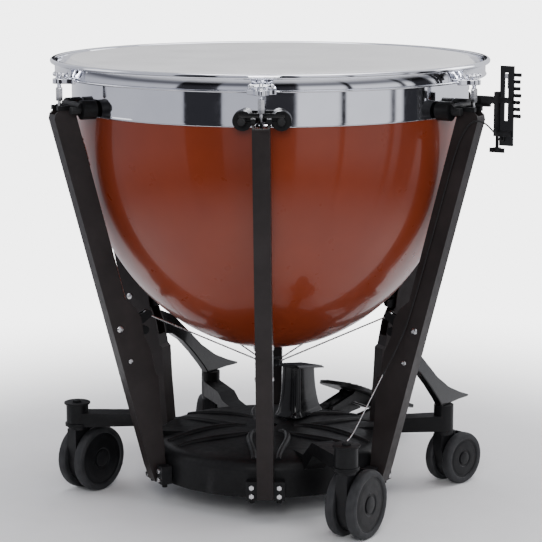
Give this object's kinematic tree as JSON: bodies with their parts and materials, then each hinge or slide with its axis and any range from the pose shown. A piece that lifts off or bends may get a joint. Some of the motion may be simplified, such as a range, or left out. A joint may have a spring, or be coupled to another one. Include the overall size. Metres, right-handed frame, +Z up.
{
  "type": "timpani drum",
  "caption": "Pedal timpani drum: deep fibreglass bowl with chrome hoop and T-handle screws in a black strut frame with pedal, tuning gauge and twin-wheel casters.",
  "frame": {"origin": "on the floor, under the bowl's vertical axis", "axes": "+Z up along the bowl's axis, +Y towards the player and the pedal, +X towards the strut that carries the tuning gauge"},
  "size_m": [0.939, 0.9097, 0.832],
  "materials": {
    "bowl_fibreglass": "glossy terracotta gelcoat",
    "drum_head": "milky polyester film",
    "chrome": "polished chrome plate",
    "aluminium_rings": "satin aluminium",
    "steel_rods": "zinc plated steel",
    "strut_paint": "semi-gloss brown-black enamel",
    "black_casting": "semi-gloss black enamel on a casting",
    "black_gloss": "gloss black enamel",
    "pedal_rubber": "ribbed black rubber on a plate",
    "black_plastic": "moulded black nylon",
    "wheel_rubber": "dark grey rubber tread"
  },
  "bodies": {
    "root": {"bowl": "bowl_fibreglass", "bearing_edge": "aluminium_rings", "chrome_band": "chrome", "head": "drum_head", "bowl_brackets": "black_casting", "strut_clamps": "black_casting", "frame_bolts": "steel_rods", "base_casting": "black_casting", "rear_wings": "black_casting", "pedal_tower": "black_gloss", "tower_lid": "black_gloss", "pivot_pins": "steel_rods", "balance_spring": "steel_rods", "gauge_bracket": "black_casting", "gauge_plate": "black_casting", "gauge_cable": "steel_rods", "strut_1": "strut_paint", "strut_2": "strut_paint", "strut_3": "strut_paint", "strut_4": "strut_paint", "strut_5": "strut_paint", "strut_6": "strut_paint"},
    "hoop": {"flesh_hoop": "aluminium_rings", "counterhoop": "chrome", "hoop_lugs": "chrome", "tension_rods": "steel_rods"},
    "spider": {"spider_hub": "black_casting", "master_rod": "steel_rods"},
    "rocker": {"rocker_lever": "black_casting"},
    "pedal": {"pedal_lever": "black_casting", "pedal_plate": "pedal_rubber"},
    "pointer": {"gauge_pointer": "steel_rods"},
    "gauge_knob": {"gauge_knob": "black_plastic"},
    "bell_crank_1": {"bell_crank_1": "black_casting"},
    "pull_rod_1": {"pull_rod_1": "steel_rods"},
    "tension_screw_1": {"tension_screw_1": "chrome"},
    "bell_crank_2": {"bell_crank_2": "black_casting"},
    "pull_rod_2": {"pull_rod_2": "steel_rods"},
    "tension_screw_2": {"tension_screw_2": "chrome"},
    "bell_crank_3": {"bell_crank_3": "black_casting"},
    "pull_rod_3": {"pull_rod_3": "steel_rods"},
    "tension_screw_3": {"tension_screw_3": "chrome"},
    "bell_crank_4": {"bell_crank_4": "black_casting"},
    "pull_rod_4": {"pull_rod_4": "steel_rods"},
    "tension_screw_4": {"tension_screw_4": "chrome"},
    "bell_crank_5": {"bell_crank_5": "black_casting"},
    "pull_rod_5": {"pull_rod_5": "steel_rods"},
    "tension_screw_5": {"tension_screw_5": "chrome"},
    "bell_crank_6": {"bell_crank_6": "black_casting"},
    "pull_rod_6": {"pull_rod_6": "steel_rods"},
    "tension_screw_6": {"tension_screw_6": "chrome"},
    "caster_fork_front_left": {"caster_fork_front_left": "black_plastic"},
    "caster_wheels_front_left": {"caster_wheels_front_left": "wheel_rubber"},
    "caster_fork_front_right": {"caster_fork_front_right": "black_plastic"},
    "caster_wheels_front_right": {"caster_wheels_front_right": "wheel_rubber"},
    "caster_fork_rear_left": {"caster_fork_rear_left": "black_plastic"},
    "caster_wheels_rear_left": {"caster_wheels_rear_left": "wheel_rubber"},
    "caster_fork_rear_right": {"caster_fork_rear_right": "black_plastic"},
    "caster_wheels_rear_right": {"caster_wheels_rear_right": "wheel_rubber"}
  },
  "joints": [
    {"name": "pedal_hinge", "type": "hinge", "parent": "root", "child": "pedal", "pos_m": [0, 0.4, 0.082], "axis": [1, 0, 0], "range_deg": [0, 14.69]},
    {"name": "rocker_hinge", "type": "hinge", "parent": "root", "child": "rocker", "pos_m": [0, -0.09, 0.082], "axis": [-1, 0, 0], "range_deg": [0, 9.01], "deforming": ["balance_spring"]},
    {"name": "spider_slide", "type": "slide", "parent": "root", "child": "spider", "axis": [0, 0, -1], "range_m": [0, 0.0142]},
    {"name": "hoop_slide", "type": "slide", "parent": "root", "child": "hoop", "axis": [0, 0, -1], "range_m": [0, 0.00453]},
    {"name": "pointer_slide", "type": "slide", "parent": "root", "child": "pointer", "axis": [0, 0, -1], "range_m": [0, 0.0602]},
    {"name": "gauge_knob_turn", "type": "hinge", "parent": "root", "child": "gauge_knob", "pos_m": [0.465, 0.008, 0.69], "axis": [0, 0, 1], "range_deg": [-180, 180]},
    {"name": "crank_1_hinge", "type": "hinge", "parent": "root", "child": "bell_crank_1", "pos_m": [0.31791, 0, 0.345], "axis": [0, -1, 0], "range_deg": [0, 8.58]},
    {"name": "pull_rod_1_hinge", "type": "hinge", "parent": "spider", "child": "pull_rod_1", "pos_m": [0.018, 0, 0.25], "axis": [0, -1, 0], "range_deg": [0, 1.28]},
    {"name": "tension_screw_1_turn", "type": "hinge", "parent": "hoop", "child": "tension_screw_1", "pos_m": [0.4225, 0, 0.8], "axis": [0, 0, 1], "range_deg": [-180, 180]},
    {"name": "crank_2_hinge", "type": "hinge", "parent": "root", "child": "bell_crank_2", "pos_m": [0.15896, 0.27532, 0.345], "axis": [0.866, -0.5, 0], "range_deg": [0, 8.58]},
    {"name": "pull_rod_2_hinge", "type": "hinge", "parent": "spider", "child": "pull_rod_2", "pos_m": [0.009, 0.01559, 0.25], "axis": [0.866, -0.5, 0], "range_deg": [0, 1.28]},
    {"name": "tension_screw_2_turn", "type": "hinge", "parent": "hoop", "child": "tension_screw_2", "pos_m": [0.21125, 0.3659, 0.8], "axis": [0, 0, 1], "range_deg": [-180, 180]},
    {"name": "crank_3_hinge", "type": "hinge", "parent": "root", "child": "bell_crank_3", "pos_m": [-0.15896, 0.27532, 0.345], "axis": [0.866, 0.5, 0], "range_deg": [0, 8.58]},
    {"name": "pull_rod_3_hinge", "type": "hinge", "parent": "spider", "child": "pull_rod_3", "pos_m": [-0.009, 0.01559, 0.25], "axis": [0.866, 0.5, 0], "range_deg": [0, 1.28]},
    {"name": "tension_screw_3_turn", "type": "hinge", "parent": "hoop", "child": "tension_screw_3", "pos_m": [-0.21125, 0.3659, 0.8], "axis": [0, 0, 1], "range_deg": [-180, 180]},
    {"name": "crank_4_hinge", "type": "hinge", "parent": "root", "child": "bell_crank_4", "pos_m": [-0.31791, 0, 0.345], "axis": [0, 1, 0], "range_deg": [0, 8.58]},
    {"name": "pull_rod_4_hinge", "type": "hinge", "parent": "spider", "child": "pull_rod_4", "pos_m": [-0.018, 0, 0.25], "axis": [0, 1, 0], "range_deg": [0, 1.28]},
    {"name": "tension_screw_4_turn", "type": "hinge", "parent": "hoop", "child": "tension_screw_4", "pos_m": [-0.4225, 0, 0.8], "axis": [0, 0, 1], "range_deg": [-180, 180]},
    {"name": "crank_5_hinge", "type": "hinge", "parent": "root", "child": "bell_crank_5", "pos_m": [-0.15896, -0.27532, 0.345], "axis": [-0.866, 0.5, 0], "range_deg": [0, 8.58]},
    {"name": "pull_rod_5_hinge", "type": "hinge", "parent": "spider", "child": "pull_rod_5", "pos_m": [-0.009, -0.01559, 0.25], "axis": [-0.866, 0.5, 0], "range_deg": [0, 1.28]},
    {"name": "tension_screw_5_turn", "type": "hinge", "parent": "hoop", "child": "tension_screw_5", "pos_m": [-0.21125, -0.3659, 0.8], "axis": [0, 0, 1], "range_deg": [-180, 180]},
    {"name": "crank_6_hinge", "type": "hinge", "parent": "root", "child": "bell_crank_6", "pos_m": [0.15896, -0.27532, 0.345], "axis": [-0.866, -0.5, 0], "range_deg": [0, 8.58]},
    {"name": "pull_rod_6_hinge", "type": "hinge", "parent": "spider", "child": "pull_rod_6", "pos_m": [0.009, -0.01559, 0.25], "axis": [-0.866, -0.5, 0], "range_deg": [0, 1.28]},
    {"name": "tension_screw_6_turn", "type": "hinge", "parent": "hoop", "child": "tension_screw_6", "pos_m": [0.21125, -0.3659, 0.8], "axis": [0, 0, 1], "range_deg": [-180, 180]},
    {"name": "swivel_front_left", "type": "hinge", "parent": "root", "child": "caster_fork_front_left", "pos_m": [-0.295, -0.22, 0.15], "axis": [0, 0, 1], "continuous": true},
    {"name": "roll_front_left", "type": "hinge", "parent": "caster_fork_front_left", "child": "caster_wheels_front_left", "pos_m": [-0.29061, -0.18427, 0.0625], "axis": [0.9925, -0.1219, 0], "continuous": true},
    {"name": "swivel_front_right", "type": "hinge", "parent": "root", "child": "caster_fork_front_right", "pos_m": [0.295, -0.22, 0.15], "axis": [0, 0, 1], "continuous": true},
    {"name": "roll_front_right", "type": "hinge", "parent": "caster_fork_front_right", "child": "caster_wheels_front_right", "pos_m": [0.295, -0.184, 0.0625], "axis": [1, 0, 0], "continuous": true},
    {"name": "swivel_rear_left", "type": "hinge", "parent": "root", "child": "caster_fork_rear_left", "pos_m": [-0.27, 0.2, 0.15], "axis": [0, 0, 1], "continuous": true},
    {"name": "roll_rear_left", "type": "hinge", "parent": "caster_fork_rear_left", "child": "caster_wheels_rear_left", "pos_m": [-0.2822, 0.22741, 0.05], "axis": [0.9135, 0.4067, 0], "continuous": true},
    {"name": "swivel_rear_right", "type": "hinge", "parent": "root", "child": "caster_fork_rear_right", "pos_m": [0.27, 0.2, 0.15], "axis": [0, 0, 1], "continuous": true},
    {"name": "roll_rear_right", "type": "hinge", "parent": "caster_fork_rear_right", "child": "caster_wheels_rear_right", "pos_m": [0.27726, 0.22911, 0.05], "axis": [0.9703, -0.2419, 0], "continuous": true}
  ],
  "couplings": [
    {"joint": "rocker_hinge", "follows": "pedal_hinge", "ratio": 0.60656},
    {"joint": "spider_slide", "follows": "pedal_hinge", "m_per_rad": 0.05459},
    {"joint": "hoop_slide", "follows": "pedal_hinge", "m_per_rad": 0.017256},
    {"joint": "pointer_slide", "follows": "pedal_hinge", "m_per_rad": 0.23396},
    {"joint": "crank_1_hinge", "follows": "pedal_hinge", "ratio": 0.57731},
    {"joint": "pull_rod_1_hinge", "follows": "pedal_hinge", "ratio": 0.08036},
    {"joint": "crank_2_hinge", "follows": "pedal_hinge", "ratio": 0.57731},
    {"joint": "pull_rod_2_hinge", "follows": "pedal_hinge", "ratio": 0.08036},
    {"joint": "crank_3_hinge", "follows": "pedal_hinge", "ratio": 0.57731},
    {"joint": "pull_rod_3_hinge", "follows": "pedal_hinge", "ratio": 0.08036},
    {"joint": "crank_4_hinge", "follows": "pedal_hinge", "ratio": 0.57731},
    {"joint": "pull_rod_4_hinge", "follows": "pedal_hinge", "ratio": 0.08036},
    {"joint": "crank_5_hinge", "follows": "pedal_hinge", "ratio": 0.57731},
    {"joint": "pull_rod_5_hinge", "follows": "pedal_hinge", "ratio": 0.08036},
    {"joint": "crank_6_hinge", "follows": "pedal_hinge", "ratio": 0.57731},
    {"joint": "pull_rod_6_hinge", "follows": "pedal_hinge", "ratio": 0.08036}
  ]
}
